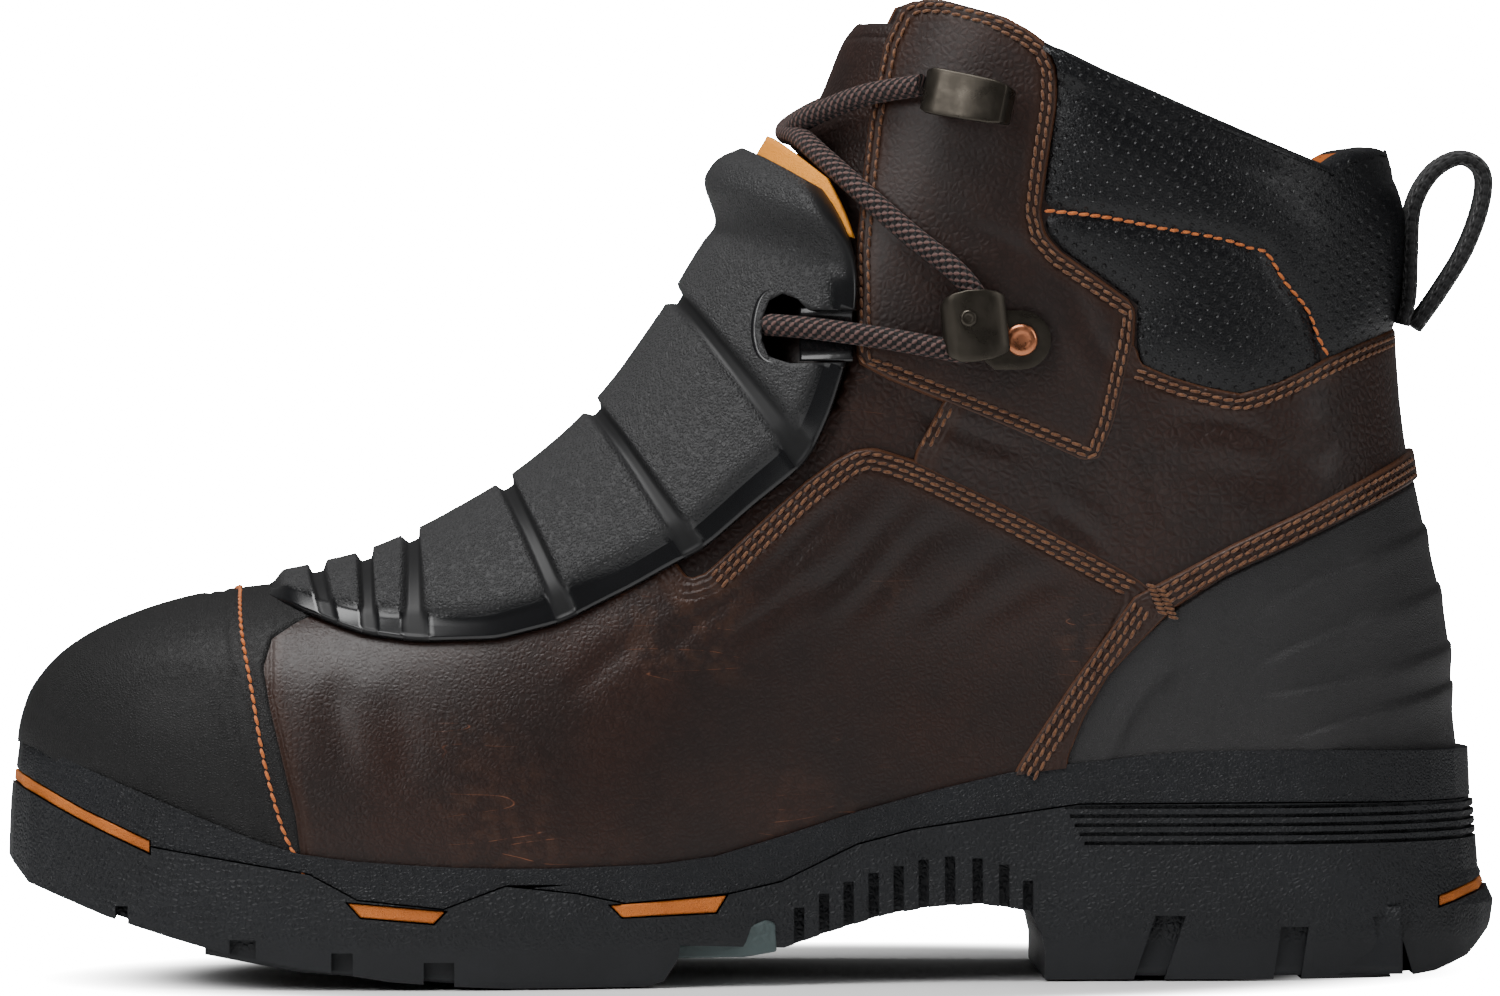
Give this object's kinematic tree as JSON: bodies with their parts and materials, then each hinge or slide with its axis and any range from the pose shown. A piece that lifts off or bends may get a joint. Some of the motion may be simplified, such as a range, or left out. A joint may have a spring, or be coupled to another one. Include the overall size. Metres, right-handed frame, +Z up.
{
  "type": "metatarsal guard work boot",
  "caption": "Ankle-high safety boot for the right foot with a segmented metatarsal guard, lugged sole, padded collar, hook lacing and a heel pull loop.",
  "frame": {"origin": "middle of the footprint on the floor under the sole", "axes": "+Z up, toe towards -X, heel towards +X, medial side towards -Y"},
  "size_m": [0.3159, 0.112, 0.2066],
  "materials": {
    "outsole": "matt black rubber with a leather-like texture",
    "midsole": "smooth near-black rubber",
    "orange_insert": "burnt orange rubber, matt",
    "upper_leather": "very dark brown grained leather",
    "toe_cap_leather": "matt black cover over the safety toe",
    "counter": "black moulded counter with shallow ridges",
    "facing_leather": "dark brown leather, double stitched",
    "collar": "black padded cloth with fine holes",
    "tongue": "black padded cloth",
    "insole": "dark grey cloth",
    "guard": "pebbled black rubber plates with glossy bevels",
    "lining": "orange cloth lining",
    "hook_metal": "dark olive-black metal",
    "rivet_metal": "copper-coloured rivet head",
    "lace": "black round braid with brown flecks",
    "webbing": "black webbing"
  },
  "bodies": {
    "root": {"outsole": "outsole", "midsole": "midsole", "toe_insert": "orange_insert", "heel_insert": "orange_insert", "side_insert_front_medial": "orange_insert", "side_insert_front_lateral": "orange_insert", "side_insert_rear_medial": "orange_insert", "side_insert_rear_lateral": "orange_insert", "upper": "upper_leather", "toe_cap": "toe_cap_leather", "heel_counter": "counter", "facing_medial": "facing_leather", "facing_lateral": "facing_leather", "collar_pad": "collar", "tongue": "tongue", "insole": "insole", "met_guard": "guard", "guard_lining": "lining", "mid_hook_medial": "hook_metal", "mid_hook_lateral": "hook_metal", "top_hook_medial": "hook_metal", "top_hook_lateral": "hook_metal", "rivet_medial": "rivet_metal", "rivet_lateral": "rivet_metal", "lace": "lace", "pull_loop": "webbing"}
  },
  "joints": []
}
